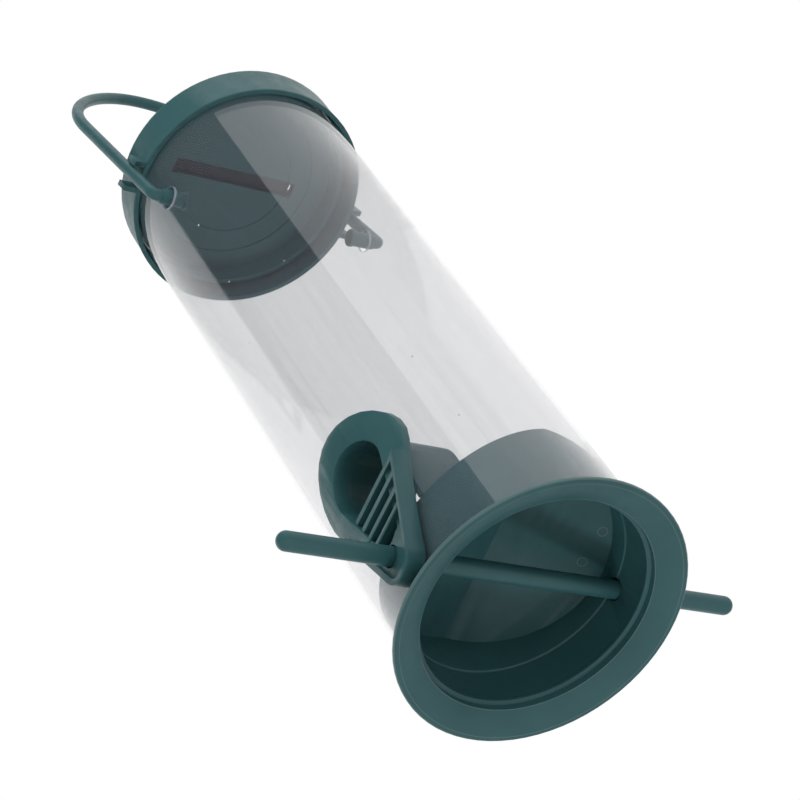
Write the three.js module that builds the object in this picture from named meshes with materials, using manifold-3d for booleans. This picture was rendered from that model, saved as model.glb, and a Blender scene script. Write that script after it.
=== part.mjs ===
// Hanging tube bird feeder: a clear seed tube on a flanged base, two feeding ports
// with one perch through both, and a cap that slides up a moulded bail.
// Millimetres, +Z up the tube, +X along the perch.
// The origin is the centre of the base flange's rim, on the plane it stands on.

import * as THREE from 'three';
import { mergeVertices } from 'three/addons/utils/BufferGeometryUtils.js';
import Module from 'manifold-3d';

const wasm = await Module();
wasm.setup();

// ---- driving dimensions ----------------------------------------------------

const GAP = 0.3;                 // space kept between pieces that touch
const ROUND_STEPS = 72;          // sides of a turned piece
const ROUND_END_STEPS = 4;
const ARC_STEPS = 16;            // steps of each arc in an outline

const TUBE_RADIUS = 32.5;
const TUBE_WALL = 0.8;
const TUBE_BOTTOM = 3.9;
const TUBE_TOP = 213.2;
const TUBE_BORE = TUBE_RADIUS - TUBE_WALL;

const FLANGE_RADIUS = 37.2;
const FLANGE_LAND = 1.2;         // width of the flat rim the feeder stands on
const FLANGE_EDGE = 1.5;         // height of the rim's outer edge
const DISH_RADIUS = 29.8;        // inner edge of the dished underside
const DISH_HEIGHT = 2.9;
const LIP_RADIUS = 28.8;
const LIP_HEIGHT = 5.0;
const PLUG_RADIUS = TUBE_BORE - 0.4;
const PLUG_BORE = 29.0;
const PLUG_BORE_TOP = 28.6;      // bore above the step inside the plug
const STEP_HEIGHT = 16.2;
const RIDGE_HEIGHT = 31.0;       // top of the gable that sheds seed to both ports
const GABLE_SLOPE = 0.26;
const GABLE_WALL = 1.5;

const PERCH_RADIUS = 2.4;
const PERCH_HALF = 65;
const PERCH_HEIGHT = 15.6;
const PERCH_HOLE = PERCH_RADIUS + 0.4;

const PORT_HEIGHT = 45;          // centre of the port's round top
const PORT_RADIUS = 15.9;
const PORT_FOOT = 10.9;          // centre of its smaller round foot
const PORT_FOOT_RADIUS = 5.6;
const PORT_OFFSET = -2;          // both ports stand a little to the -Y side of the perch
const PORT_TWIST = THREE.MathUtils.degToRad(2);  // and lean a little further that way
const PORT_PLATE = 1.6;          // thickness of the surround that hugs the tube
const CHEEK = 1.5;               // side wall of the grille box
const MOUTH_HEIGHT = 43.4;
const MOUTH_RADIUS = 9.3;
const THROAT_FOOT = 22.5;
const THROAT_FOOT_RADIUS = 4.2;
const COLLAR_WALL = 1.6;         // collar that passes through the tube's wall
const COLLAR_REACH = 2.4;        // how far the collar stands into the tube
const BOX_TOP = 36.5;            // the grille box stands out more towards its foot
const BOX_FRONT = 33.4;          // how far out its front is at the top
const FRONT_SLOPE = 0.125;
const SILL = 19;                 // top of the plate under the bars
const BAR_PITCH = (BOX_TOP - SILL) / 4;
const BAR_SIZE = 1.6;
const BAR_COUNT = 4;
const BAR_DEPTH = 3.2;
const BAR_SETBACK = 0.3;
const PLATE_SETBACK = 1.1;       // how far the perch's plate lies behind the cheeks
const HOOD_END = 10.5;
const HOOD_WALL = 1.4;
const HOOD_STEP = 0.15;          // the hood's bore stands back from the mouth's

const CAP_RIM = 202.6;
const CAP_TOP = 216.7;
const CAP_RADIUS = 34.0;
const CAP_BORE = TUBE_RADIUS + 0.4;
const CAP_CEILING = 214.0;
const CAP_EDGE_ROUND = 1.8;
const CAP_BEAD = 0.25;
const INNER_RING_OUTER = TUBE_BORE - 0.5;
const INNER_RING_WALL = 1.4;
const INNER_RING_DEPTH = 6.5;
const STEP_RADII = [24, 17.5];
const STEP_DEPTH = 0.5;
const GRIP_HALF = 19.5;          // raised grip bar on top, hollow underneath
const GRIP_RADIUS = 2.2;
const GRIP_RAISE = 1.7;
const GRIP_SKIN = 1.3;

const BAIL_AXIS_HEIGHT = 186.5;  // the holes the bail turns in
const BAIL_AXIS_OFFSET = -1.5;   // the holes are drilled a little to the -Y side
const BAIL_HOLE = 3.2;
const BAIL_ROD = 1.75;
const ROD_SIDES = 16;
const BAIL_REACH = 37;           // centre of each arm from the tube's axis
const BAIL_LEAN = THREE.MathUtils.degToRad(7.7);
const BAIL_SHOULDER = 56;        // where the arms turn into the arched top
const BAIL_CROWN = 102;          // height of the arch over the holes
const ARCH_FULLNESS = 0.46;      // 0.55 would make each half of the arch a quarter ellipse
const BAIL_FOOT_ROUND = 2.4;
const PEG_RADIUS = 2.2;
const PEG_END = 26.6;
const PEG_BEAD = 2.6;
const PEG_BEAD_LENGTH = 1.4;

const CAP_LIFT = 11.2;           // travel that brings the cap clear of the tube
const BAIL_PLAY = THREE.MathUtils.degToRad(0.8);
const EAR_FOOT = 203;
const EAR_HEIGHT = 5;
const EAR_REACH = 37.4;
const EAR_THICK = 1.6;
const EAR_CLEAR = 0.3;

// ---- materials -------------------------------------------------------------

const green = () => new THREE.MeshStandardMaterial({ color: 0x2c5a58, roughness: 0.42, metalness: 0 });
const clear = () => new THREE.MeshStandardMaterial({
  color: 0xdfe3e4, roughness: 0.08, metalness: 0, transparent: true, opacity: 0.3,
});

// ---- solids ----------------------------------------------------------------

function toSolid(geometry) {
  const bare = geometry.clone();
  for (const name of Object.keys(bare.attributes)) {
    if (name !== 'position') bare.deleteAttribute(name);
  }
  const merged = mergeVertices(bare, 1e-4);
  return new wasm.Manifold(new wasm.Mesh({
    numProp: 3,
    vertProperties: new Float32Array(merged.attributes.position.array),
    triVerts: new Uint32Array(merged.index.array),
  }));
}

function toMesh(name, solid, material) {
  const { numProp, vertProperties, triVerts } = solid.getMesh();
  const positions = new Float32Array(vertProperties.length / numProp * 3);
  for (let i = 0; i < positions.length / 3; i += 1) {
    positions.set(vertProperties.subarray(i * numProp, i * numProp + 3), i * 3);
  }
  const geometry = new THREE.BufferGeometry();
  geometry.setAttribute('position', new THREE.BufferAttribute(positions, 3));
  geometry.setIndex(Array.from(triVerts));
  geometry.computeVertexNormals();
  const mesh = new THREE.Mesh(geometry, material);
  mesh.name = name;
  return mesh;
}

// A turned solid about Z from [radius, height] points, in order up the outside.
function turned(points, steps = ROUND_STEPS) {
  const profile = points.map(([r, z]) => new THREE.Vector2(r, z));
  const geometry = new THREE.LatheGeometry(profile, steps);
  geometry.rotateX(Math.PI / 2);
  return toSolid(geometry);
}

// A plain round bar about Z between two heights.
function disc(radius, low, high, steps = ROUND_STEPS) {
  return turned([[0, low], [radius, low], [radius, high], [0, high]], steps);
}

// A round bar along X between two places.
function barAlongX(radius, from, to, y, z, steps = 24) {
  const geometry = new THREE.CylinderGeometry(radius, radius, to - from, steps);
  geometry.rotateZ(Math.PI / 2);
  geometry.translate((from + to) / 2, y, z);
  return toSolid(geometry);
}

function block(low, high) {
  const size = high.map((v, i) => v - low[i]);
  const geometry = new THREE.BoxGeometry(...size);
  geometry.translate(...high.map((v, i) => (v + low[i]) / 2));
  return geometry;
}

// Sets a shape beside the perch, leaning, as the ports and their openings stand.
function askew(geometry) {
  geometry.translate(0, 0, -PERCH_HEIGHT);
  geometry.rotateX(PORT_TWIST);
  geometry.translate(0, PORT_OFFSET, PERCH_HEIGHT);
  return toSolid(geometry);
}

// A (y, z) outline pushed along X between two places.
function pushed(outline, from, to) {
  const geometry = new THREE.ExtrudeGeometry(outline, {
    depth: to - from, bevelEnabled: false, curveSegments: ARC_STEPS / 2,
  });
  geometry.rotateX(Math.PI / 2);
  geometry.rotateZ(Math.PI / 2);
  geometry.translate(from, 0, 0);
  return geometry;
}

// An (x, z) outline pushed along Y to both sides of the tube's axis.
function pushedAcross(outline, half) {
  const geometry = new THREE.ExtrudeGeometry(outline, { depth: 2 * half, bevelEnabled: false });
  geometry.rotateX(Math.PI / 2);
  geometry.translate(0, half, 0);
  return geometry;
}

// A drop: a round top joined by straight sides to a smaller round foot.
function drop([topHeight, topRadius, footHeight, footRadius]) {
  const lean = Math.asin((topRadius - footRadius) / (topHeight - footHeight));
  const shape = new THREE.Shape();
  shape.absarc(0, topHeight, topRadius, -lean, Math.PI + lean, false);
  shape.absarc(0, footHeight, footRadius, Math.PI + lean, 2 * Math.PI - lean, false);
  shape.closePath();
  return shape;
}

// A drop pushed along X and set askew.
function dropPrism(outline, from, to) {
  return askew(pushed(drop(outline), from, to));
}

// ---- clear tube ------------------------------------------------------------

const PORT_OUTLINE = [PORT_HEIGHT, PORT_RADIUS, PORT_FOOT, PORT_FOOT_RADIUS];
const BOX_ROOM = [PORT_HEIGHT, PORT_RADIUS - CHEEK, PORT_FOOT, PORT_FOOT_RADIUS - CHEEK];
const COLLAR_OUTLINE = [MOUTH_HEIGHT, MOUTH_RADIUS + COLLAR_WALL, PERCH_HEIGHT, 4.1];
const TUBE_OPENING = [MOUTH_HEIGHT, MOUTH_RADIUS + COLLAR_WALL + GAP, PERCH_HEIGHT, 4.1 + GAP];
const THROAT_OUTLINE = [MOUTH_HEIGHT, MOUTH_RADIUS, THROAT_FOOT, THROAT_FOOT_RADIUS];

function feedTube() {
  const outside = disc(TUBE_RADIUS, TUBE_BOTTOM, TUBE_TOP);
  const inside = disc(TUBE_BORE, TUBE_BOTTOM - 1, TUBE_TOP + 1);
  const reach = TUBE_RADIUS + 2;
  const openings = dropPrism(TUBE_OPENING, -reach, reach);
  const bailHoles = barAlongX(BAIL_HOLE, -reach, reach, BAIL_AXIS_OFFSET, BAIL_AXIS_HEIGHT);
  return toMesh('feed_tube', outside.subtract(inside).subtract(openings).subtract(bailHoles), clear());
}

// ---- base: dished flange and hollow gabled plug ----------------------------

// Everything below a gable whose ridge runs along Y at the given height.
function underGable(ridge) {
  const half = FLANGE_RADIUS + 4;
  const eave = ridge - GABLE_SLOPE * half;
  const outline = new THREE.Shape([
    new THREE.Vector2(-half, -2), new THREE.Vector2(half, -2),
    new THREE.Vector2(half, eave), new THREE.Vector2(0, ridge), new THREE.Vector2(-half, eave),
  ]);
  return toSolid(pushedAcross(outline, half));
}

function base() {
  const seat = TUBE_BOTTOM - GAP;
  const body = turned([
    [0, 0], [FLANGE_RADIUS - 0.4, 0], [FLANGE_RADIUS, 0.4], [FLANGE_RADIUS, FLANGE_EDGE - 0.4],
    [FLANGE_RADIUS - 0.5, FLANGE_EDGE], [TUBE_RADIUS + 0.8, seat], [PLUG_RADIUS, seat],
    [PLUG_RADIUS, RIDGE_HEIGHT + 1], [0, RIDGE_HEIGHT + 1],
  ]);
  const hollow = turned([
    [0, -1], [FLANGE_RADIUS - FLANGE_LAND, -1], [FLANGE_RADIUS - FLANGE_LAND, 0],
    [DISH_RADIUS, DISH_HEIGHT], [DISH_RADIUS, LIP_HEIGHT - 0.3], [LIP_RADIUS, LIP_HEIGHT],
    [LIP_RADIUS, LIP_HEIGHT + 0.8], [PLUG_BORE, LIP_HEIGHT + 1.1], [PLUG_BORE, STEP_HEIGHT],
    [PLUG_BORE_TOP, STEP_HEIGHT + 0.3], [PLUG_BORE_TOP, RIDGE_HEIGHT + 2], [0, RIDGE_HEIGHT + 2],
  ]);
  const perchHoles = barAlongX(PERCH_HOLE, -FLANGE_RADIUS, FLANGE_RADIUS, 0, PERCH_HEIGHT);
  const solid = body.intersect(underGable(RIDGE_HEIGHT))
    .subtract(hollow.intersect(underGable(RIDGE_HEIGHT - GABLE_WALL)))
    .subtract(perchHoles);
  return toMesh('base', solid, green());
}

// ---- feeding ports ---------------------------------------------------------

// Everything behind the grille box's slanted front, or behind a plane set back from it.
function behindFront(setback) {
  const low = -5;
  const high = PORT_HEIGHT + PORT_RADIUS + 5;
  const frontAt = (z) => BOX_FRONT + (BOX_TOP - z) * FRONT_SLOPE - setback;
  const outline = new THREE.Shape([
    new THREE.Vector2(0, low), new THREE.Vector2(frontAt(low), low),
    new THREE.Vector2(frontAt(high), high), new THREE.Vector2(0, high),
  ]);
  return askew(pushedAcross(outline, FLANGE_RADIUS));
}

// A slab across the port between two heights.
function slab(low, high) {
  return askew(block([0, -FLANGE_RADIUS, low], [FLANGE_RADIUS + 10, FLANGE_RADIUS, high]));
}

function grilleBars() {
  let bars = slab(BOX_TOP - BAR_SIZE, BOX_TOP);
  for (let i = 1; i < BAR_COUNT; i += 1) {
    const top = BOX_TOP - i * BAR_PITCH;
    bars = bars.add(slab(top - BAR_SIZE, top));
  }
  return bars.intersect(behindFront(BAR_SETBACK)).subtract(behindFront(BAR_SETBACK + BAR_DEPTH));
}

// A tunnel inside the tube, from the mouth to near the middle, standing on the gable.
function hood() {
  const inner = MOUTH_RADIUS + HOOD_STEP;
  const outer = MOUTH_RADIUS + HOOD_WALL;
  const foot = PERCH_HEIGHT;
  const outline = new THREE.Shape();
  outline.moveTo(outer, foot);
  outline.absarc(0, MOUTH_HEIGHT, outer, 0, Math.PI, false);
  outline.lineTo(-outer, foot);
  outline.lineTo(-inner, foot);
  outline.absarc(0, MOUTH_HEIGHT, inner, Math.PI, 0, true);
  outline.lineTo(inner, foot);
  outline.closePath();
  const insideTube = disc(TUBE_BORE - GAP, 0, PORT_HEIGHT + PORT_RADIUS);
  return askew(pushed(outline, HOOD_END, TUBE_BORE)).intersect(insideTube)
    .subtract(underGable(RIDGE_HEIGHT + GAP));
}

// One port on the +X side.
function portSolid() {
  const far = BOX_FRONT + 10;
  const shellHigh = PORT_HEIGHT + PORT_RADIUS + 2;
  const tubeRoom = disc(TUBE_RADIUS + GAP, -1, shellHigh + 4);
  const plateSkin = disc(TUBE_RADIUS + GAP + PORT_PLATE, 0, shellHigh);
  const outline = dropPrism(PORT_OUTLINE, 10, far);
  const collarBlock = dropPrism(COLLAR_OUTLINE, 20, far);

  const plate = outline.intersect(plateSkin);
  const grilleBox = outline.intersect(behindFront(0)).intersect(slab(-1, BOX_TOP));
  const room = dropPrism(BOX_ROOM, 0, far);
  const grilleSpace = room.intersect(slab(SILL, shellHigh)).subtract(plateSkin);
  const plateSpace = room.intersect(slab(-1, SILL + 1)).subtract(behindFront(PLATE_SETBACK));
  const bars = grilleBars().intersect(outline).subtract(tubeRoom.subtract(collarBlock));

  const insideTube = disc(TUBE_RADIUS + 1, 0, shellHigh);
  const plugRoom = disc(TUBE_BORE + 0.05, -1, RIDGE_HEIGHT - 3);
  const boreRoom = disc(TUBE_BORE - COLLAR_REACH, -1, shellHigh);
  const collar = collarBlock.intersect(insideTube).subtract(plugRoom).subtract(boreRoom);

  const throat = dropPrism(THROAT_OUTLINE, 20, far);
  const perchHole = barAlongX(PERCH_HOLE, 0, far, 0, PERCH_HEIGHT);
  return plate.add(grilleBox).subtract(tubeRoom).subtract(grilleSpace).subtract(plateSpace)
    .add(collar).subtract(throat).subtract(perchHole).add(hood()).add(bars);
}

// The two ports are one moulding, and both lean to the same side of the tube.
function port(name, side) {
  const mesh = toMesh(name, portSolid(), green());
  mesh.scale.x = side;
  return mesh;
}

// ---- perch -----------------------------------------------------------------

function perch() {
  const end = PERCH_HALF - PERCH_RADIUS;
  const profile = [[0, -PERCH_HALF]];
  for (let i = 1; i <= ROUND_END_STEPS; i += 1) {
    const a = -Math.PI / 2 + (Math.PI / 2) * i / ROUND_END_STEPS;
    profile.push([PERCH_RADIUS * Math.cos(a), -end + PERCH_RADIUS * Math.sin(a)]);
  }
  for (let i = 0; i < ROUND_END_STEPS; i += 1) {
    const a = (Math.PI / 2) * i / ROUND_END_STEPS;
    profile.push([PERCH_RADIUS * Math.cos(a), end + PERCH_RADIUS * Math.sin(a)]);
  }
  profile.push([0, PERCH_HALF]);
  const mesh = toMesh('perch', turned(profile, 24), green());
  mesh.rotation.y = Math.PI / 2;
  mesh.position.z = PERCH_HEIGHT;
  return mesh;
}

// ---- bail ------------------------------------------------------------------

// Half of the bail's centre line, from the foot of the +X arm to the crown.
function bailHalf() {
  const foot = new THREE.LineCurve3(
    new THREE.Vector3(BAIL_REACH - BAIL_FOOT_ROUND - 1, 0, 0),
    new THREE.Vector3(BAIL_REACH - BAIL_FOOT_ROUND, 0, 0));
  const heel = new THREE.QuadraticBezierCurve3(
    new THREE.Vector3(BAIL_REACH - BAIL_FOOT_ROUND, 0, 0),
    new THREE.Vector3(BAIL_REACH, 0, 0),
    new THREE.Vector3(BAIL_REACH, 0, BAIL_FOOT_ROUND));
  const arm = new THREE.LineCurve3(
    new THREE.Vector3(BAIL_REACH, 0, BAIL_FOOT_ROUND),
    new THREE.Vector3(BAIL_REACH, 0, BAIL_SHOULDER));
  const arch = new THREE.CubicBezierCurve3(
    new THREE.Vector3(BAIL_REACH, 0, BAIL_SHOULDER),
    new THREE.Vector3(BAIL_REACH, 0, BAIL_SHOULDER + ARCH_FULLNESS * (BAIL_CROWN - BAIL_SHOULDER)),
    new THREE.Vector3(BAIL_REACH * ARCH_FULLNESS, 0, BAIL_CROWN),
    new THREE.Vector3(0, 0, BAIL_CROWN));
  return [[foot, 1], [heel, 5], [arm, 1], [arch, 16]];
}

// The whole centre line, as points from one foot over the crown to the other.
function bailLine() {
  const right = [];
  for (const [curve, steps] of bailHalf()) {
    const points = curve.getPoints(steps);
    right.push(...(right.length ? points.slice(1) : points));
  }
  const left = right.slice(0, -1).reverse().map((p) => new THREE.Vector3(-p.x, p.y, p.z));
  return [...right, ...left];
}

// A round rod that follows the centre line, which lies in the XZ plane.
function bailRod() {
  const line = bailLine();
  const positions = [];
  const index = [];
  line.forEach((point, i) => {
    const before = line[Math.max(i - 1, 0)];
    const after = line[Math.min(i + 1, line.length - 1)];
    const along = after.clone().sub(before).normalize();
    for (let k = 0; k < ROD_SIDES; k += 1) {
      const a = 2 * Math.PI * k / ROD_SIDES;
      const out = BAIL_ROD * Math.cos(a);
      positions.push(point.x + out * along.z, BAIL_ROD * Math.sin(a), point.z - out * along.x);
    }
  });
  for (let i = 0; i < line.length - 1; i += 1) {
    for (let k = 0; k < ROD_SIDES; k += 1) {
      const next = (k + 1) % ROD_SIDES;
      const here = i * ROD_SIDES;
      const there = here + ROD_SIDES;
      index.push(here + k, here + next, there + next, here + k, there + next, there + k);
    }
  }
  const last = (line.length - 1) * ROD_SIDES;
  for (let k = 1; k < ROD_SIDES - 1; k += 1) {
    index.push(0, k + 1, k, last, last + k, last + k + 1);
  }
  const geometry = new THREE.BufferGeometry();
  geometry.setAttribute('position', new THREE.BufferAttribute(new Float32Array(positions), 3));
  geometry.setIndex(index);
  return toSolid(geometry);
}

function bail() {
  let solid = bailRod();
  for (const side of [-1, 1]) {
    const inner = Math.min(side * PEG_END, side * (BAIL_REACH - BAIL_FOOT_ROUND));
    const outer = Math.max(side * PEG_END, side * (BAIL_REACH - BAIL_FOOT_ROUND));
    const beadInner = Math.min(side * PEG_END, side * (PEG_END + PEG_BEAD_LENGTH));
    solid = solid.add(barAlongX(PEG_RADIUS, inner, outer, 0, 0))
      .add(barAlongX(PEG_BEAD, beadInner, beadInner + PEG_BEAD_LENGTH, 0, 0));
  }
  const mesh = toMesh('bail', solid, green());
  mesh.rotation.x = -BAIL_LEAN;
  mesh.position.set(0, BAIL_AXIS_OFFSET, BAIL_AXIS_HEIGHT);
  return mesh;
}

// ---- cap -------------------------------------------------------------------

// How far the arm's centre stands towards +Y at a height, with the bail leaning.
function armOffset(height, lean = BAIL_LEAN) {
  return BAIL_AXIS_OFFSET + (height - BAIL_AXIS_HEIGHT) * Math.tan(lean);
}

// A fork of two prongs on one side (+1 or -1) that the arm slides between as the cap lifts.
// Their faces lean as the arm does.
function ear(side) {
  const top = EAR_FOOT + EAR_HEIGHT;
  const play = (height) => armOffset(height, BAIL_LEAN + BAIL_PLAY) - armOffset(height);
  const room = BAIL_ROD / Math.cos(BAIL_LEAN) + EAR_CLEAR;
  const near = -room - play(top);
  const far = room + play(top + CAP_LIFT) + CAP_LIFT * Math.tan(BAIL_LEAN);
  const prong = (low, high) => {
    const outline = new THREE.Shape([[low, EAR_FOOT], [high, EAR_FOOT], [high, top], [low, top]]
      .map(([offset, z]) => new THREE.Vector2(armOffset(z) + offset, z)));
    const root = side * (CAP_BORE - 2);
    const end = side * EAR_REACH;
    return toSolid(pushed(outline, Math.min(root, end), Math.max(root, end)));
  };
  return prong(near - EAR_THICK, near).add(prong(far, far + EAR_THICK));
}

function gripBar(radius, low, high) {
  const outline = new THREE.Shape();
  outline.absarc(GRIP_HALF - radius, 0, radius, -Math.PI / 2, Math.PI / 2, false);
  outline.absarc(radius - GRIP_HALF, 0, radius, Math.PI / 2, 3 * Math.PI / 2, false);
  outline.closePath();
  const geometry = new THREE.ExtrudeGeometry(outline, {
    depth: high - low, bevelEnabled: false, curveSegments: ARC_STEPS / 4,
  });
  geometry.translate(0, 0, low);
  return toSolid(geometry);
}

function capShell() {
  const round = CAP_EDGE_ROUND;
  const edge = [];
  for (let i = 1; i <= ROUND_END_STEPS; i += 1) {
    const a = (Math.PI / 2) * i / ROUND_END_STEPS;
    edge.push([CAP_RADIUS - round + round * Math.cos(a), CAP_TOP - round + round * Math.sin(a)]);
  }
  const outside = turned([
    [0, CAP_RIM], [CAP_RADIUS + CAP_BEAD, CAP_RIM], [CAP_RADIUS + CAP_BEAD, CAP_RIM + 1],
    [CAP_RADIUS, CAP_RIM + 1.4], [CAP_RADIUS, CAP_TOP - round], ...edge, [0, CAP_TOP],
  ]);
  const ringInner = INNER_RING_OUTER - INNER_RING_WALL;
  const ringFoot = CAP_CEILING - INNER_RING_DEPTH;
  const skirtRoom = turned([
    [0, CAP_RIM - 1], [CAP_BORE, CAP_RIM - 1], [CAP_BORE, CAP_CEILING], [0, CAP_CEILING],
  ]);
  const ring = disc(INNER_RING_OUTER, ringFoot, CAP_CEILING + 0.5)
    .subtract(disc(ringInner, ringFoot - 1, CAP_CEILING + 1));
  let solid = outside.subtract(skirtRoom).add(ring);
  STEP_RADII.forEach((radius, i) => {
    solid = solid.subtract(disc(radius, CAP_CEILING - 1, CAP_CEILING + STEP_DEPTH * (i + 1)));
  });
  return solid;
}

function cap() {
  const earRoom = disc((CAP_BORE + CAP_RADIUS) / 2, CAP_RIM - 5, CAP_CEILING);
  const ears = ear(1).add(ear(-1)).subtract(earRoom);
  const grip = gripBar(GRIP_RADIUS + GRIP_SKIN, CAP_TOP - 0.5, CAP_TOP + GRIP_RAISE);
  const gripHollow = gripBar(GRIP_RADIUS, CAP_CEILING - 1, CAP_TOP + GRIP_RAISE - GRIP_SKIN);
  const solid = capShell().add(ears).add(grip).subtract(gripHollow);
  return toMesh('cap', solid, green());
}

// ---- assembly --------------------------------------------------------------

const feeder = new THREE.Group();
feeder.add(feedTube(), base(), port('port_right', 1), port('port_left', -1));
feeder.add(perch(), bail(), cap());

export default feeder;
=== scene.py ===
"""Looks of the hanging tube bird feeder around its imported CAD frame. Metres, +Z up."""
import math

import bmesh
import bpy
from mathutils import Matrix, Quaternion, Vector


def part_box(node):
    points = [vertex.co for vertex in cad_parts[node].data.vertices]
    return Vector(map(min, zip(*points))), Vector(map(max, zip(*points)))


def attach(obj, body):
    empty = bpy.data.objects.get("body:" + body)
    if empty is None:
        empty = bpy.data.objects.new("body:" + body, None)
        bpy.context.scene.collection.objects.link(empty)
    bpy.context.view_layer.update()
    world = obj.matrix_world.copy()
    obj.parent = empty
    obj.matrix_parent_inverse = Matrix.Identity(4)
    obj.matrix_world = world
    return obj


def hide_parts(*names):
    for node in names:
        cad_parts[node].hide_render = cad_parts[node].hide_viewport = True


MM = 0.001
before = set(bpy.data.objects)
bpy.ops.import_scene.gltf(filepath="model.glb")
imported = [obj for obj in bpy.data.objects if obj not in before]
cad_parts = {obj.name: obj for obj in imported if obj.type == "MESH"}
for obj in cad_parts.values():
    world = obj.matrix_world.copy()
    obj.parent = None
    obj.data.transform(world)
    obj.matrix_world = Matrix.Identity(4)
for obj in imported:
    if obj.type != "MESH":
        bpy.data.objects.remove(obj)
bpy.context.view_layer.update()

# ---- sizes -------------------------------------------------------------------
# The bail's own centre line, measured from its pegs, before it leans.
BAIL_AXIS = Vector((0, -1.5, 186.5)) * MM
BAIL_LEAN = math.radians(7.7)
BAIL_REACH = 37 * MM
BAIL_SHOULDER = 56 * MM
BAIL_CROWN = 102 * MM
BAIL_HEEL = 2.4 * MM
BAIL_ROD = 1.75 * MM
ARCH_FULLNESS = 0.46
PEG_RADIUS = 2.2 * MM
PEG_END = 26.6 * MM
PEG_BEAD = 2.6 * MM
PEG_BEAD_LENGTH = 1.4 * MM
PEG_EDGE = 0.4 * MM
HEEL_STEPS = 10
ARCH_STEPS = 40
ROD_SIDES = 32
LEAST_RADIUS = 0.02 * MM         # a rounded end stops this far from its point

PERCH_SIDES = 48
PERCH_END_STEPS = 12
EDGE_ROUND = 0.22 * MM           # moulded edges are never sharp
TUBE_EDGE_ROUND = 0.12 * MM
EDGE_ANGLE = math.radians(28)    # a crease sharper than this is an edge
WELD_REACH = 0.002 * MM


# ---- node helpers ------------------------------------------------------------
# Where the factor, A and B are among a Mix node's inputs, and where its colour comes out.
MIX_NUMBER = (0, 2, 3)
MIX_COLOUR = (0, 6, 7)
MIX_COLOUR_OUT = 2
MIX_SHADER = (0, 1, 2)


class Nodes:
    """A short way to add and join the nodes of one material or world."""

    def __init__(self, tree):
        self.tree = tree
        tree.nodes.clear()

    def add(self, kind, **inputs):
        """A new node; an underscore in an input's name stands for a space."""
        node = self.tree.nodes.new(kind)
        for name, value in inputs.items():
            self.feed(node, name.replace("_", " "), value)
        return node

    def feed(self, node, name, value):
        """Links another node's output to an input, or sets the input to a plain value."""
        socket = node.inputs[name]
        if isinstance(value, bpy.types.NodeSocket):
            self.tree.links.new(value, socket)
        else:
            socket.default_value = value

    def math(self, operation, a, b=0.0, c=0.0, clamp=False):
        node = self.tree.nodes.new("ShaderNodeMath")
        node.operation = operation
        node.use_clamp = clamp
        for i, value in enumerate((a, b, c)):
            self.feed(node, i, value)
        return node.outputs[0]

    def noise(self, place, scale, detail=2.0, roughness=0.5):
        node = self.add("ShaderNodeTexNoise", Vector=place, Scale=scale, Detail=detail,
                        Roughness=roughness)
        return node.outputs["Fac"]

    def spread(self, value, low, high, start=0.0, end=1.0):
        """Low where the value is at start, high where it is at end."""
        node = self.tree.nodes.new("ShaderNodeMapRange")
        for name, v in (("Value", value), ("From Min", start), ("From Max", end),
                        ("To Min", low), ("To Max", high)):
            self.feed(node, name, v)
        return node.outputs[0]

    def blend(self, kind, places, values, data_type=None, out=0):
        """A factor and two values, fed to a mixing node at the given places."""
        node = self.tree.nodes.new(kind)
        if data_type:
            node.data_type = data_type
        for place, value in zip(places, values):
            self.feed(node, place, value)
        return node.outputs[out]

    def blend_colour(self, amount, a, b):
        return self.blend("ShaderNodeMix", MIX_COLOUR, (amount, a, b), "RGBA", MIX_COLOUR_OUT)

    def blend_number(self, amount, a, b):
        return self.blend("ShaderNodeMix", MIX_NUMBER, (amount, a, b))

    def blend_shader(self, amount, a, b):
        return self.blend("ShaderNodeMixShader", MIX_SHADER, (amount, a, b))

    def surface(self, shader, kind="ShaderNodeOutputMaterial"):
        """Ends the material or world in this shader."""
        self.feed(self.tree.nodes.new(kind), "Surface", shader)

    def vector(self, operation, a, b=None, scale=None):
        node = self.tree.nodes.new("ShaderNodeVectorMath")
        node.operation = operation
        self.feed(node, 0, a)
        if b is not None:
            self.feed(node, 1, b)
        if scale is not None:
            self.feed(node, "Scale", scale)
        scalar = operation in ("DOT_PRODUCT", "LENGTH")
        return node.outputs["Value" if scalar else "Vector"]

    def place(self):
        """Where a point is on its object, in metres."""
        return self.add("ShaderNodeTexCoord").outputs["Object"]


def new_material(name):
    """An empty material and its nodes."""
    material = bpy.data.materials.new(name)
    material.use_nodes = True
    return material, Nodes(material.node_tree)


SPECK_RARITY = 0.93              # share of the cells that hold no dot


def specks(nodes, place, scale, size):
    """1 at a few tiny scattered dots, 0 between them."""
    cells = nodes.add("ShaderNodeTexVoronoi", Vector=place, Scale=scale)
    near = nodes.math("LESS_THAN", cells.outputs["Distance"], size)
    split = nodes.add("ShaderNodeSeparateColor", Color=cells.outputs["Color"])
    rare = nodes.math("GREATER_THAN", split.outputs["Red"], SPECK_RARITY)
    return nodes.math("MULTIPLY", near, rare)


# ---- green plastic -----------------------------------------------------------
GREEN = (0.022, 0.078, 0.084, 1)
GREEN_WORN = (0.029, 0.094, 0.101, 1)
# Pale dust, also used for the pin rings and for painted highlight lines around the base's rim.
DUST_AND_HIGHLIGHT = (0.45, 0.52, 0.50, 1)
FLOW_SCALE = 38.0                # cells per metre of the moulding's flow pattern
FLOW_RANGE = (0.35, 0.65)        # the part of the noise that the colour follows
SCUFF_SCALE = 210.0
FINE_RANGE = (0.3, 0.7)          # the part of a fine noise that the looks follow
GREEN_ROUGHNESS = (0.34, 0.5)
GREEN_IOR = 1.4
GREEN_SPECKS = (130.0, 0.045)    # cells per metre, and a dot's radius in cells
BUMP_STRENGTH = 0.1
BUMP_DEPTH = 0.05 * MM
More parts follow.
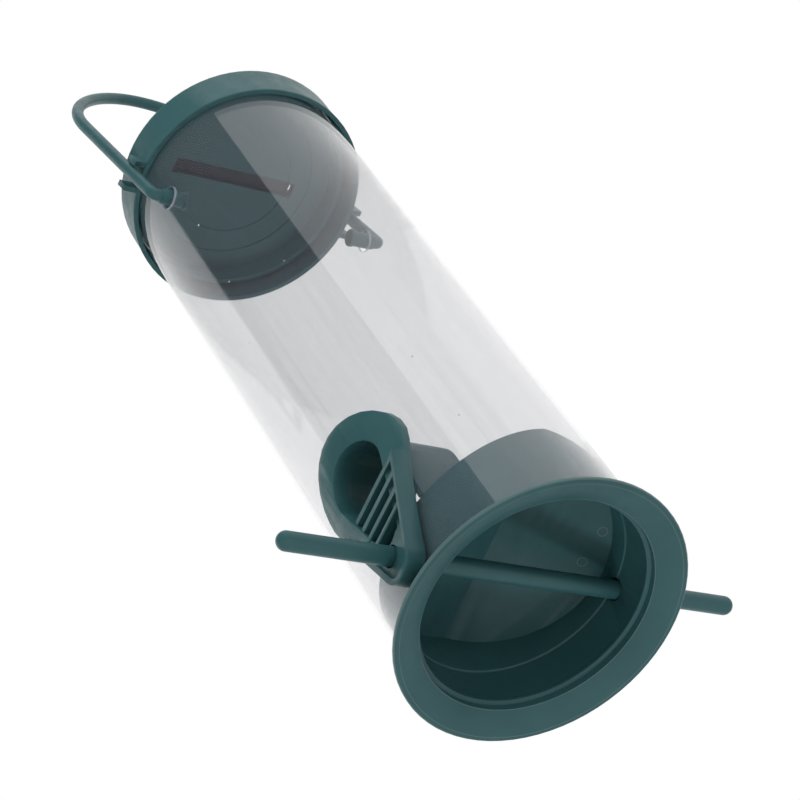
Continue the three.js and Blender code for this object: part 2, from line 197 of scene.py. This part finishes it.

# The hollow under the cap's grip bar gets painted shade, nearly black, as it looks from inside.
RECESS_SHADE = (0.012, 0.014, 0.016, 1)
RECESS_FOOT = 4.0 * MM           # below the top of the cap's grip bar
RECESS_ROOF = 1.0 * MM
RECESS_HALF = 2.3 * MM
RECESS_REACH = 19.7 * MM

# How far the pin rings and the rim's painted highlight lines lighten the colour.
MARK_AND_HIGHLIGHT_STRENGTH = 0.12
PIN_MARKS = ((22.8, -1.5), (23.9, -10.8))  # centres, in mm
PIN_RADIUS = 1.2 * MM
PIN_LINE = 0.25 * MM
PIN_LOWEST = 18 * MM             # the pins' rings show only above this height
# Painted highlight lines around the base's rim, where its edges catch the light.
RIM_HIGHLIGHT_LINES = ((35.85, 0.16), (37.1, 0.3), (29.9, 0.16))  # radius and width, in mm
RIM_HIGHLIGHT_TOP = 4 * MM             # and the rim's lines only below this one


def ring_mark(nodes, place, centre, radius, width):
    """1 on a thin circle about an upright axis."""
    off = nodes.vector("SUBTRACT", nodes.vector("MULTIPLY", place, (1, 1, 0)), centre)
    reach = nodes.vector("LENGTH", off)
    gap = nodes.math("ABSOLUTE", nodes.math("SUBTRACT", reach, radius))
    return nodes.math("LESS_THAN", gap, width / 2)


def base_rings_and_highlights(nodes, place):
    """Rings that the mould's pins left under the gable, and painted highlight lines around the
    rim.
    """
    height = nodes.add("ShaderNodeSeparateXYZ", Vector=place).outputs["Z"]
    inside = nodes.math("GREATER_THAN", height, PIN_LOWEST)
    low = nodes.math("LESS_THAN", height, RIM_HIGHLIGHT_TOP)
    marks = 0.0
    for x, y in PIN_MARKS:
        ring = ring_mark(nodes, place, Vector((x, y, 0)) * MM, PIN_RADIUS, PIN_LINE)
        marks = nodes.math("MAXIMUM", marks, nodes.math("MULTIPLY", ring, inside))
    for radius, width in RIM_HIGHLIGHT_LINES:
        ring = ring_mark(nodes, place, (0, 0, 0), radius * MM, width * MM)
        marks = nodes.math("MAXIMUM", marks, nodes.math("MULTIPLY", ring, low))
    return marks


def grip_recess_shade(nodes, place):
    """1 in the hollow under the cap's grip bar, where shade is painted."""
    split = nodes.add("ShaderNodeSeparateXYZ", Vector=place)
    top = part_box("cap")[1].z
    deep = nodes.math("GREATER_THAN", split.outputs["Z"], top - RECESS_FOOT)
    under = nodes.math("LESS_THAN", split.outputs["Z"], top - RECESS_ROOF)
    narrow = nodes.math("LESS_THAN", nodes.math("ABSOLUTE", split.outputs["Y"]), RECESS_HALF)
    short = nodes.math("LESS_THAN", nodes.math("ABSOLUTE", split.outputs["X"]), RECESS_REACH)
    return nodes.math("MULTIPLY", nodes.math("MULTIPLY", deep, under),
                      nodes.math("MULTIPLY", narrow, short))


def green_plastic(name, marks=None, shadow=None):
    """Satin moulded plastic with a faint flow pattern and a little dust.
    marks are lighter lines, real pin rings and painted highlights; shadow is a patch of painted
    shade."""
    material, nodes = new_material(name)
    place = nodes.place()
    flow = nodes.noise(place, FLOW_SCALE, 3.0, 0.55)
    scuff = nodes.noise(place, SCUFF_SCALE, 4.0, 0.7)
    colour = nodes.blend_colour(nodes.spread(flow, 0, 1, *FLOW_RANGE), GREEN, GREEN_WORN)
    # Pale pin rings and painted highlight lines, where the material has them.
    if marks:
        faint = nodes.math("MULTIPLY", marks(nodes, place), MARK_AND_HIGHLIGHT_STRENGTH)
        colour = nodes.blend_colour(faint, colour, DUST_AND_HIGHLIGHT)
    # Painted shade in the hollow under the cap's grip bar.
    if shadow:
        colour = nodes.blend_colour(shadow(nodes, place), colour, RECESS_SHADE)
    colour = nodes.blend_colour(specks(nodes, place, *GREEN_SPECKS), colour, DUST_AND_HIGHLIGHT)
    roughness = nodes.spread(scuff, *GREEN_ROUGHNESS, *FINE_RANGE)
    bump = nodes.add("ShaderNodeBump", Height=flow, Strength=BUMP_STRENGTH,
                     Distance=BUMP_DEPTH)
    shader = nodes.add("ShaderNodeBsdfPrincipled", Base_Color=colour, Roughness=roughness,
                       IOR=GREEN_IOR, Normal=bump.outputs[0])
    nodes.surface(shader.outputs[0])
    return material


# ---- clear plastic -----------------------------------------------------------
WALL_TINT = (0.923, 0.943)       # share of light that passes each face of the wall
WALL_BLUE = 1.003
HAZE = (0.57, 0.60, 0.71, 1)
HAZE_SHARE = 0.03
EDGE_SHARE = 0.5                 # more haze where the wall was cut
EDGE_AGREEMENT = 0.9             # a face that points less outward than this is a cut edge
CLEAR_SPECKS = (95.0, 0.035)
SCRATCH_SCALE = (420.0, 420.0, 22.0)  # scratches run along the tube
SEAMS = (183.5, 189.3)           # edges of the lap seam, in degrees about Z
SEAM_WIDTH = 0.35
SEAM_SHADE = -0.07               # change in the light that passes at a seam's edge
FACE_GLOSS = 0.04                # mirror reflection of a clear face seen square on
GRAZING_GLOSS = 0.85             # and how much it gains at a grazing view
GRAZING_POWER = 5.0
CLEAR_ROUGHNESS = 0.04


def around(nodes, place):
    """The angle about the tube's axis, 0 to 360 degrees."""
    split = nodes.add("ShaderNodeSeparateXYZ", Vector=place)
    turn = nodes.math("ARCTAN2", split.outputs["Y"], split.outputs["X"])
    return nodes.math("FLOORED_MODULO", nodes.math("DEGREES", turn), 360.0)


def wall_normal(nodes, place):
    """The tube's true round normal on either face of its wall, and 1 at a cut edge."""
    flat = nodes.vector("MULTIPLY", place, (1, 1, 0))
    outward = nodes.vector("NORMALIZE", flat)
    face = nodes.add("ShaderNodeNewGeometry").outputs["True Normal"]
    agree = nodes.vector("DOT_PRODUCT", face, outward)
    side = nodes.math("SIGN", agree)
    cut = nodes.math("LESS_THAN", nodes.math("ABSOLUTE", agree), EDGE_AGREEMENT)
    return nodes.vector("SCALE", outward, scale=side), cut


def clear_plastic(name):
    """A thin clear wall: it passes light straight through and mirrors its surroundings."""
    material, nodes = new_material(name)
    place = nodes.place()
    stretched = nodes.add("ShaderNodeMapping", Vector=place, Scale=SCRATCH_SCALE)
    scratch = nodes.noise(stretched.outputs[0], 1.0, 3.0, 0.7)
    normal, cut = wall_normal(nodes, place)
    facing = nodes.add("ShaderNodeLayerWeight", Blend=0.5, Normal=normal).outputs["Facing"]
    grazing = nodes.math("POWER", facing, GRAZING_POWER)
    mirror = nodes.math("MULTIPLY_ADD", grazing, GRAZING_GLOSS, FACE_GLOSS, clamp=True)
    tint = nodes.spread(scratch, *WALL_TINT, *FINE_RANGE)
    angle = around(nodes, place)
    for seam in SEAMS:
        across = nodes.math("ABSOLUTE", nodes.math("SUBTRACT", angle, seam))
        line = nodes.math("LESS_THAN", across, SEAM_WIDTH / 2)
        tint = nodes.math("MULTIPLY_ADD", line, SEAM_SHADE, tint)
    grey = nodes.add("ShaderNodeCombineColor", Red=tint, Green=tint,
                     Blue=nodes.math("MULTIPLY", tint, WALL_BLUE))
    through = nodes.add("ShaderNodeBsdfTransparent", Color=grey.outputs[0])
    haze = nodes.add("ShaderNodeBsdfDiffuse", Color=HAZE)
    gloss = nodes.add("ShaderNodeBsdfAnisotropic", Color=(1, 1, 1, 1),
                      Roughness=CLEAR_ROUGHNESS, Normal=normal)
    dusty = nodes.math("ADD", specks(nodes, place, *CLEAR_SPECKS), HAZE_SHARE)
    dusty = nodes.math("MULTIPLY_ADD", cut, EDGE_SHARE, dusty, clamp=True)
    veil = nodes.blend_shader(dusty, through.outputs[0], haze.outputs[0])
    nodes.surface(nodes.blend_shader(mirror, veil, gloss.outputs[0]))
    return material


GREEN_PLASTIC = green_plastic("green_plastic")
# The base's material adds pin rings and painted highlight lines on the rim.
BASE_PLASTIC_WITH_HIGHLIGHTS = green_plastic("base_plastic_with_highlights", marks=base_rings_and_highlights)
# The cap's material adds painted shade in the grip's hollow.
CAP_PLASTIC_WITH_SHADE = green_plastic("cap_plastic_with_shade", shadow=grip_recess_shade)
CLEAR_PLASTIC = clear_plastic("clear_plastic")


# ---- pieces ------------------------------------------------------------------
def dress(obj, material):
    """Gives a piece its one material."""
    obj.data.materials.clear()
    obj.data.materials.append(material)


def soften(obj, radius):
    """Rounds a CAD node's edges without touching its own mesh."""
    weld = obj.modifiers.new("weld", "WELD")
    weld.merge_threshold = WELD_REACH
    bevel = obj.modifiers.new("edges", "BEVEL")
    bevel.width = radius
    bevel.segments = 2
    bevel.limit_method = "ANGLE"
    bevel.angle_limit = EDGE_ANGLE
    bevel.use_clamp_overlap = True
    bevel.harden_normals = True
    for polygon in obj.data.polygons:
        polygon.use_smooth = True


def mesh_object(name, body, build, material):
    """A new piece made by a function that fills a bmesh, riding on a CAD body."""
    mesh = bpy.data.meshes.new(name)
    bm = bmesh.new()
    build(bm)
    bmesh.ops.recalc_face_normals(bm, faces=bm.faces)
    bm.to_mesh(mesh)
    bm.free()
    for polygon in mesh.polygons:
        polygon.use_smooth = True
    obj = bpy.data.objects.new(name, mesh)
    bpy.context.scene.collection.objects.link(obj)
    dress(obj, material)
    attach(obj, body)
    return obj


def sweep(bm, line, radii, across, sides):
    """A round rod along points that lie in one plane; across is that plane's normal."""
    rings = []
    for i, (point, radius) in enumerate(zip(line, radii)):
        along = (line[min(i + 1, len(line) - 1)] - line[max(i - 1, 0)]).normalized()
        out = across.cross(along).normalized()
        rings.append([bm.verts.new(point + radius * (math.cos(a) * out + math.sin(a) * across))
                      for a in (2 * math.pi * k / sides for k in range(sides))])
    for ring, after in zip(rings, rings[1:]):
        for k in range(sides):
            n = (k + 1) % sides
            bm.faces.new((ring[k], ring[n], after[n], after[k]))
    bm.faces.new(rings[0][::-1])
    bm.faces.new(rings[-1])


def rounded_bar(bm, start, end, radius, roundness, sides, steps=6):
    """A straight bar whose ends turn in with the given radius."""
    along = (end - start).normalized()
    line, radii = [], []
    for i in range(steps + 1):
        turn = 0.5 * math.pi * i / steps
        line.append(start + along * roundness * (1 - math.cos(turn)))
        radii.append(max(radius - roundness * (1 - math.sin(turn)), LEAST_RADIUS))
    far = [end - (p - start) for p in reversed(line)]
    sweep(bm, line + far, radii + radii[::-1], Vector((0, 1, 0)), sides)


def bezier(a, b, c, d, steps):
    """Points along a cubic curve, both ends included."""
    points = []
    for i in range(steps + 1):
        t = i / steps
        points.append(a * (1 - t) ** 3 + b * 3 * t * (1 - t) ** 2
                      + c * 3 * t * t * (1 - t) + d * t ** 3)
    return points


def bail_line():
    """The bail's centre line from one foot over the crown to the other, upright at the origin."""
    arch = ARCH_FULLNESS * (BAIL_CROWN - BAIL_SHOULDER)
    heel = bezier(Vector((BAIL_REACH - BAIL_HEEL, 0, 0)),
                  Vector((BAIL_REACH - BAIL_HEEL / 3, 0, 0)),
                  Vector((BAIL_REACH, 0, BAIL_HEEL / 3)),
                  Vector((BAIL_REACH, 0, BAIL_HEEL)), HEEL_STEPS)
    top = bezier(Vector((BAIL_REACH, 0, BAIL_SHOULDER)),
                 Vector((BAIL_REACH, 0, BAIL_SHOULDER + arch)),
                 Vector((BAIL_REACH * ARCH_FULLNESS, 0, BAIL_CROWN)),
                 Vector((0, 0, BAIL_CROWN)), ARCH_STEPS)
    half = [Vector((BAIL_REACH - BAIL_HEEL - MM, 0, 0))] + heel + top
    other = [Vector((-p.x, p.y, p.z)) for p in reversed(half[:-1])]
    return half + other


def build_bail(bm):
    """The bent rod, with a thicker peg and its bead at each foot, leaned into place."""
    line = bail_line()
    sweep(bm, line, [BAIL_ROD] * len(line), Vector((0, 1, 0)), ROD_SIDES)
    for side in (-1, 1):
        root = Vector((side * (BAIL_REACH - BAIL_HEEL), 0, 0))
        tip = Vector((side * PEG_END, 0, 0))
        bead = Vector((side * (PEG_END + PEG_BEAD_LENGTH), 0, 0))
        rounded_bar(bm, tip, root, PEG_RADIUS, PEG_EDGE, ROD_SIDES)
        rounded_bar(bm, tip, bead, PEG_BEAD, PEG_EDGE, ROD_SIDES)
    lean = Matrix.Translation(BAIL_AXIS) @ Matrix.Rotation(-BAIL_LEAN, 4, "X")
    bmesh.ops.transform(bm, matrix=lean, verts=bm.verts)


def build_perch(bm):
    """The perch as a finer bar with domed ends, in its CAD node's box."""
    low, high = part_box("perch")
    radius = (high.z - low.z) / 2
    middle = (low + high) / 2
    half = (high.x - low.x) / 2
    rounded_bar(bm, middle - Vector((half, 0, 0)), middle + Vector((half, 0, 0)),
                radius, radius, PERCH_SIDES, PERCH_END_STEPS)


MOULDINGS = {"base": BASE_PLASTIC_WITH_HIGHLIGHTS, "port_right": GREEN_PLASTIC, "port_left": GREEN_PLASTIC,
             "cap": CAP_PLASTIC_WITH_SHADE}
for node, plastic in MOULDINGS.items():
    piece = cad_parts[node]
    dress(piece, plastic)
    soften(piece, EDGE_ROUND)
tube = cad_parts["feed_tube"]
dress(tube, CLEAR_PLASTIC)
soften(tube, TUBE_EDGE_ROUND)

bail = mesh_object("bail_handle", "hanger", build_bail, GREEN_PLASTIC)
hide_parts("bail")
perch = mesh_object("perch_bar", "perch_rod", build_perch, GREEN_PLASTIC)
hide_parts("perch")


# ---- studio ------------------------------------------------------------------
FLOOR_DROP = 0.8                 # the feeder hangs this far above the floor
FLOOR_SIZE = 60.0
FLOOR_PAINT = (0.9, 0.9, 0.9, 1)
FLOOR_GLOW = 0.12                # keeps the floor pale however far it runs
BACKDROP = 1.0                   # strength of the white seen behind the feeder
FILL = 0.5                       # strength of the soft light from all around
BAND_FROM = math.radians(-122.5)  # the bright side of the studio, as directions about Z
BAND_TO = math.radians(139)
BAND_BRIGHT = 1.05
BAND_DARK = 0.06


def make_world():
    """White behind the feeder, soft fill around it, and one bright wall for it to mirror."""
    world = bpy.data.worlds.new("studio")
    bpy.context.scene.world = world
    world.use_nodes = True
    nodes = Nodes(world.node_tree)
    way = nodes.add("ShaderNodeTexCoord").outputs["Generated"]
    split = nodes.add("ShaderNodeSeparateXYZ", Vector=way)
    heading = nodes.math("ARCTAN2", split.outputs["Y"], split.outputs["X"])
    after = nodes.math("GREATER_THAN", heading, BAND_FROM)
    before = nodes.math("LESS_THAN", heading, BAND_TO)
    bright = nodes.math("MULTIPLY", after, before)
    mirrored = nodes.spread(bright, BAND_DARK, BAND_BRIGHT)
    path = nodes.add("ShaderNodeLightPath")
    strength = nodes.blend_number(path.outputs["Is Glossy Ray"], FILL, mirrored)
    strength = nodes.blend_number(path.outputs["Is Camera Ray"], strength, BACKDROP)
    light = nodes.add("ShaderNodeBackground", Color=(1, 1, 1, 1), Strength=strength)
    nodes.surface(light.outputs[0], "ShaderNodeOutputWorld")


def floor_paint():
    """Matt near-white that glows a little."""
    material, nodes = new_material("studio_floor")
    shader = nodes.add("ShaderNodeBsdfPrincipled", Base_Color=FLOOR_PAINT, Roughness=0.8,
                       Emission_Color=(1, 1, 1, 1), Emission_Strength=FLOOR_GLOW)
    nodes.surface(shader.outputs[0])
    return material


def make_floor():
    """A wide pale plane below the feeder."""
    bpy.ops.mesh.primitive_plane_add(size=FLOOR_SIZE, location=(0, 0, -FLOOR_DROP))
    floor = bpy.context.object
    floor.name = "studio_floor"
    floor.data.materials.append(floor_paint())


LIGHT_AIM = Vector((0, 0, 0.11))
LIGHTS = (("key", (-0.9, -0.2, 0.75), 0.7, 7.0),     # name, place, size and watts
          ("side", (-0.25, -1.1, 0.1), 0.5, 4.0),
          ("under", (-0.05, 0.5, -0.68), 0.12, 1.8))


def soft_light(name, place, size, watts):
    """A square light aimed at the feeder and hidden from reflections, as the tube would mirror
    its outline."""
    data = bpy.data.lights.new(name, "AREA")
    data.shape = "SQUARE"
    data.size = size
    data.energy = watts
    light = bpy.data.objects.new(name, data)
    bpy.context.scene.collection.objects.link(light)
    light.location = place
    light.visible_glossy = False
    light.rotation_mode = "QUATERNION"
    light.rotation_quaternion = (LIGHT_AIM - Vector(place)).to_track_quat("-Z", "Y")


SENSOR = 36.0                    # the camera's sensor and lens, in mm
LENS = 119.27
CAMERA_PLACE = Vector((-354.67, -261.83, -422.70)) * MM
CAMERA_AIM = Vector((1.07, -1.32, 91.02)) * MM
CAMERA_ROLL = math.radians(-35.536)


def make_camera():
    """Looks up at the feeder from below, on its -X -Y side, with the frame rolled."""
    data = bpy.data.cameras.new("camera")
    data.sensor_width = SENSOR
    data.lens = LENS
    data.clip_start = 0.01
    data.clip_end = 20.0
    camera = bpy.data.objects.new("camera", data)
    bpy.context.scene.collection.objects.link(camera)
    camera.location = CAMERA_PLACE
    look = (CAMERA_AIM - CAMERA_PLACE).to_track_quat("-Z", "Y")
    camera.rotation_mode = "QUATERNION"
    camera.rotation_quaternion = look @ Quaternion((0, 0, 1), CAMERA_ROLL)
    bpy.context.scene.camera = camera


make_world()
make_floor()
for light in LIGHTS:
    soft_light(*light)
make_camera()
bpy.context.scene.view_settings.view_transform = "Standard"
